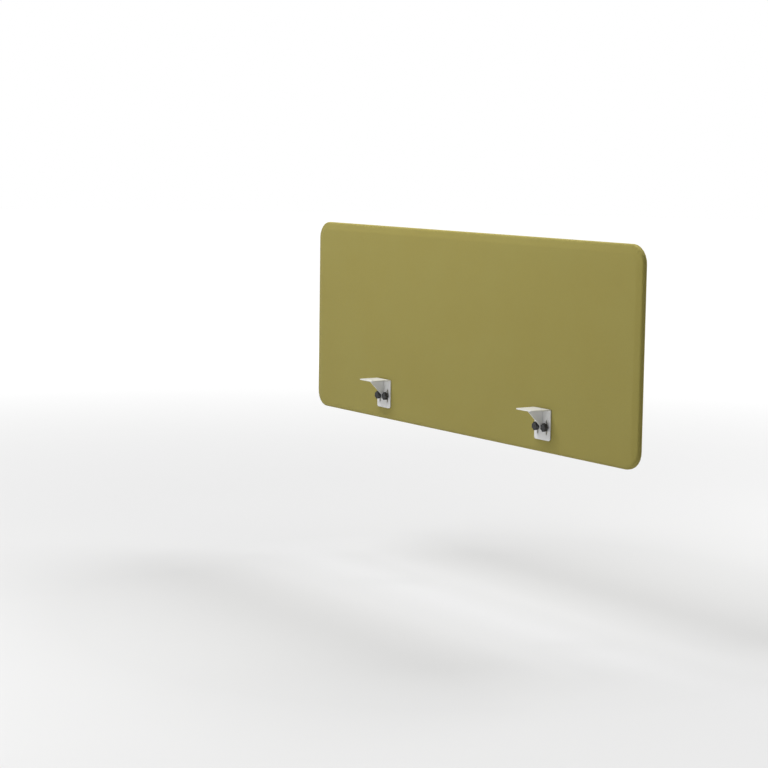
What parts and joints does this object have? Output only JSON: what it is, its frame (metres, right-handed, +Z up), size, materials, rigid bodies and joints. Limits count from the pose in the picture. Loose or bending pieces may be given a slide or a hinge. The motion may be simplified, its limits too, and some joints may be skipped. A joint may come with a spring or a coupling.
{
  "type": "desk privacy panel",
  "caption": "Upholstered desk privacy panel with rounded corners, hung behind a worktop on slotted steel brackets with hand knobs for setting its height.",
  "frame": {"origin": "level with the lowest edge of the cover, centred along the panel, and midway in depth between the brackets' front tips and the panel's rear face", "axes": "+X along the panel to the right as seen from the desk, +Y from the desk through the panel to its rear face, +Z up"},
  "size_m": [1.8, 0.1068, 0.67],
  "materials": {
    "fabric": "fine plain upholstery weave, matte",
    "foam": "open-cell foam sheet, matte",
    "board": "raw wood-based board",
    "powder_coat": "fine satin powder coat",
    "black_plastic": "fine-textured moulding",
    "bright_steel": "turned, bright",
    "zinc": "bright zinc plate",
    "brass": "turned",
    "zip_tape": "herringbone tape",
    "zip_teeth": "nylon"
  },
  "bodies": {
    "brackets": {"bracket_left": "powder_coat", "bracket_right": "powder_coat", "bracket_rib_left": "powder_coat", "bracket_rib_right": "powder_coat"},
    "panel": {"core_board": "board", "front_foam": "foam", "rear_foam": "foam", "edge_foam": "foam", "front_cover": "fabric", "rear_cover": "fabric", "insert_left_outer": "brass", "insert_left_inner": "brass", "insert_right_outer": "brass", "insert_right_inner": "brass", "bush_left_outer": "bright_steel", "bush_left_inner": "bright_steel", "bush_right_outer": "bright_steel", "bush_right_inner": "bright_steel", "zip_tape_front": "zip_tape", "zip_tape_rear": "zip_tape", "zip_teeth_front": "zip_teeth", "zip_teeth_rear": "zip_teeth", "zip_stop_left": "bright_steel", "zip_stop_right": "bright_steel"},
    "slider": {"zip_slider": "zinc"},
    "washer_left_outer": {"washer_left_outer": "zinc"},
    "knob_left_outer": {"knob_left_outer": "black_plastic", "stud_left_outer": "zinc"},
    "washer_left_inner": {"washer_left_inner": "zinc"},
    "knob_left_inner": {"knob_left_inner": "black_plastic", "stud_left_inner": "zinc"},
    "washer_right_outer": {"washer_right_outer": "zinc"},
    "knob_right_outer": {"knob_right_outer": "black_plastic", "stud_right_outer": "zinc"},
    "washer_right_inner": {"washer_right_inner": "zinc"},
    "knob_right_inner": {"knob_right_inner": "black_plastic", "stud_right_inner": "zinc"}
  },
  "joints": [
    {"name": "panel_height", "type": "slide", "parent": "brackets", "child": "panel", "axis": [0, 0, 1], "range_m": [-0.02, 0.02]},
    {"name": "zip_run", "type": "slide", "parent": "panel", "child": "slider", "axis": [1, 0, 0], "range_m": [0, 1.489]},
    {"name": "knob_left_outer_back_off", "type": "slide", "parent": "panel", "child": "washer_left_outer", "axis": [0, -1, 0], "range_m": [0, 0.0015]},
    {"name": "knob_left_outer_turn", "type": "hinge", "parent": "washer_left_outer", "child": "knob_left_outer", "pos_m": [-0.472, 0.0404, 0.082], "axis": [0, -1, 0], "range_deg": [0, 540]},
    {"name": "knob_left_inner_back_off", "type": "slide", "parent": "panel", "child": "washer_left_inner", "axis": [0, -1, 0], "range_m": [0, 0.0015]},
    {"name": "knob_left_inner_turn", "type": "hinge", "parent": "washer_left_inner", "child": "knob_left_inner", "pos_m": [-0.428, 0.0404, 0.082], "axis": [0, -1, 0], "range_deg": [0, 540]},
    {"name": "knob_right_outer_back_off", "type": "slide", "parent": "panel", "child": "washer_right_outer", "axis": [0, -1, 0], "range_m": [0, 0.0015]},
    {"name": "knob_right_outer_turn", "type": "hinge", "parent": "washer_right_outer", "child": "knob_right_outer", "pos_m": [0.472, 0.0404, 0.082], "axis": [0, -1, 0], "range_deg": [0, 540]},
    {"name": "knob_right_inner_back_off", "type": "slide", "parent": "panel", "child": "washer_right_inner", "axis": [0, -1, 0], "range_m": [0, 0.0015]},
    {"name": "knob_right_inner_turn", "type": "hinge", "parent": "washer_right_inner", "child": "knob_right_inner", "pos_m": [0.428, 0.0404, 0.082], "axis": [0, -1, 0], "range_deg": [0, 540]}
  ],
  "couplings": [
    {"joint": "knob_left_outer_turn", "follows": "knob_left_outer_back_off", "rad_per_m": 6283.2},
    {"joint": "knob_left_inner_turn", "follows": "knob_left_inner_back_off", "rad_per_m": 6283.2},
    {"joint": "knob_right_outer_turn", "follows": "knob_right_outer_back_off", "rad_per_m": 6283.2},
    {"joint": "knob_right_inner_turn", "follows": "knob_right_inner_back_off", "rad_per_m": 6283.2}
  ]
}
